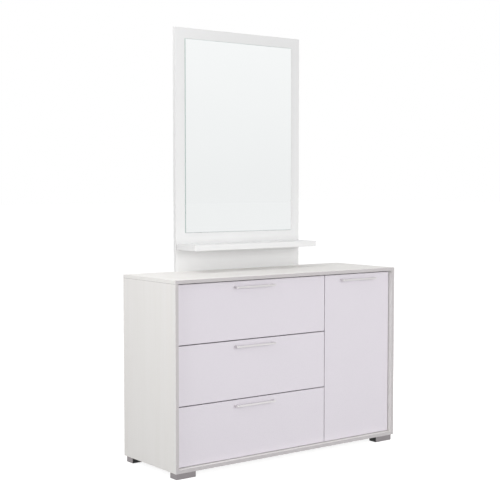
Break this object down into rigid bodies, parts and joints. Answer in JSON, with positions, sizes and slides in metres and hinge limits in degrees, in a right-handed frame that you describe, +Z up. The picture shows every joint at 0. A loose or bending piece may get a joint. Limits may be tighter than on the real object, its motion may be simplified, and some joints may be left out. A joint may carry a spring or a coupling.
{
  "type": "dresser with mirror",
  "caption": "Low white dresser with drawers on the left, a door on the right, short feet and slim handles, and a tall mirror panel with a small shelf.",
  "frame": {"origin": "on the floor, in the middle of the width and of the whole depth", "axes": "+X to the right seen from the front, +Y from the front to the back, +Z up"},
  "size_m": [1.2, 0.4084, 1.856],
  "materials": {
    "grain_laminate": "pale grained laminate on chipboard, satin",
    "front_lacquer": "smooth white lacquered board with a faint lilac cast",
    "white_laminate": "plain white laminate, satin",
    "drawer_box_laminate": "plain foil-faced chipboard",
    "hardboard": "thin white-faced hardboard",
    "mirror_glass": "silvered glass with ground edges",
    "handle_metal": "brushed, satin bright",
    "foot_plastic": "moulded black",
    "foot_aluminium": "brushed silver angle",
    "rail_steel": "zinc-plated folded steel",
    "nickel_steel": "nickel-plated pressed steel",
    "zinc_casting": "zinc alloy",
    "strap_steel": "light grey powder coat",
    "screw_steel": "zinc-plated",
    "beech": "plain turned wood",
    "bumper_rubber": "soft clear pad"
  },
  "bodies": {
    "carcass": {"top_panel": "grain_laminate", "bottom_panel": "grain_laminate", "left_side_panel": "grain_laminate", "right_side_panel": "grain_laminate", "centre_partition": "grain_laminate", "back_panel": "hardboard", "rear_rail": "grain_laminate", "compartment_shelf": "grain_laminate", "shelf_pins": "nickel_steel", "cam_fittings": "zinc_casting", "wood_dowels": "beech", "back_panel_nails": "screw_steel", "front_left_foot": "foot_plastic", "front_right_foot": "foot_plastic", "rear_left_foot": "foot_plastic", "rear_right_foot": "foot_plastic", "foot_trims": "foot_aluminium", "foot_screws": "screw_steel", "mirror_panel": "white_laminate", "mirror_glass": "mirror_glass", "mirror_shelf": "white_laminate", "mirror_straps": "strap_steel", "mirror_screws": "screw_steel", "hinge_arms": "nickel_steel", "hinge_plates": "nickel_steel", "cabinet_rails": "rail_steel", "rail_and_hinge_screws": "screw_steel", "door_bumpers": "bumper_rubber"},
    "bottom_drawer": {"bottom_drawer_front": "front_lacquer", "bottom_drawer_left_side": "drawer_box_laminate", "bottom_drawer_right_side": "drawer_box_laminate", "bottom_drawer_back": "drawer_box_laminate", "bottom_drawer_bottom": "hardboard", "bottom_drawer_handle": "handle_metal", "bottom_drawer_inner_rails": "rail_steel", "bottom_drawer_screws": "screw_steel"},
    "bottom_drawer_rails": {"bottom_drawer_middle_rails": "rail_steel"},
    "middle_drawer": {"middle_drawer_front": "front_lacquer", "middle_drawer_left_side": "drawer_box_laminate", "middle_drawer_right_side": "drawer_box_laminate", "middle_drawer_back": "drawer_box_laminate", "middle_drawer_bottom": "hardboard", "middle_drawer_handle": "handle_metal", "middle_drawer_inner_rails": "rail_steel", "middle_drawer_screws": "screw_steel"},
    "middle_drawer_rails": {"middle_drawer_middle_rails": "rail_steel"},
    "top_drawer": {"top_drawer_front": "front_lacquer", "top_drawer_left_side": "drawer_box_laminate", "top_drawer_right_side": "drawer_box_laminate", "top_drawer_back": "drawer_box_laminate", "top_drawer_bottom": "hardboard", "top_drawer_handle": "handle_metal", "top_drawer_inner_rails": "rail_steel", "top_drawer_screws": "screw_steel"},
    "top_drawer_rails": {"top_drawer_middle_rails": "rail_steel"},
    "door": {"door_panel": "front_lacquer", "door_handle": "handle_metal", "door_screws": "screw_steel", "hinge_cups": "nickel_steel", "hinge_pins": "nickel_steel"}
  },
  "joints": [
    {"name": "bottom_drawer_slide", "type": "slide", "parent": "carcass", "child": "bottom_drawer", "axis": [0, -1, 0], "range_m": [0, 0.29]},
    {"name": "bottom_drawer_rails_slide", "type": "slide", "parent": "carcass", "child": "bottom_drawer_rails", "axis": [0, -1, 0], "range_m": [0, 0.145]},
    {"name": "middle_drawer_slide", "type": "slide", "parent": "carcass", "child": "middle_drawer", "axis": [0, -1, 0], "range_m": [0, 0.29]},
    {"name": "middle_drawer_rails_slide", "type": "slide", "parent": "carcass", "child": "middle_drawer_rails", "axis": [0, -1, 0], "range_m": [0, 0.145]},
    {"name": "top_drawer_slide", "type": "slide", "parent": "carcass", "child": "top_drawer", "axis": [0, -1, 0], "range_m": [0, 0.29]},
    {"name": "top_drawer_rails_slide", "type": "slide", "parent": "carcass", "child": "top_drawer_rails", "axis": [0, -1, 0], "range_m": [0, 0.145]},
    {"name": "door_hinge", "type": "hinge", "parent": "carcass", "child": "door", "pos_m": [0.57, -0.1752, 0.413], "axis": [0, 0, 1], "range_deg": [0, 95]}
  ],
  "couplings": [
    {"joint": "bottom_drawer_rails_slide", "follows": "bottom_drawer_slide", "ratio": 0.5},
    {"joint": "middle_drawer_rails_slide", "follows": "middle_drawer_slide", "ratio": 0.5},
    {"joint": "top_drawer_rails_slide", "follows": "top_drawer_slide", "ratio": 0.5}
  ]
}
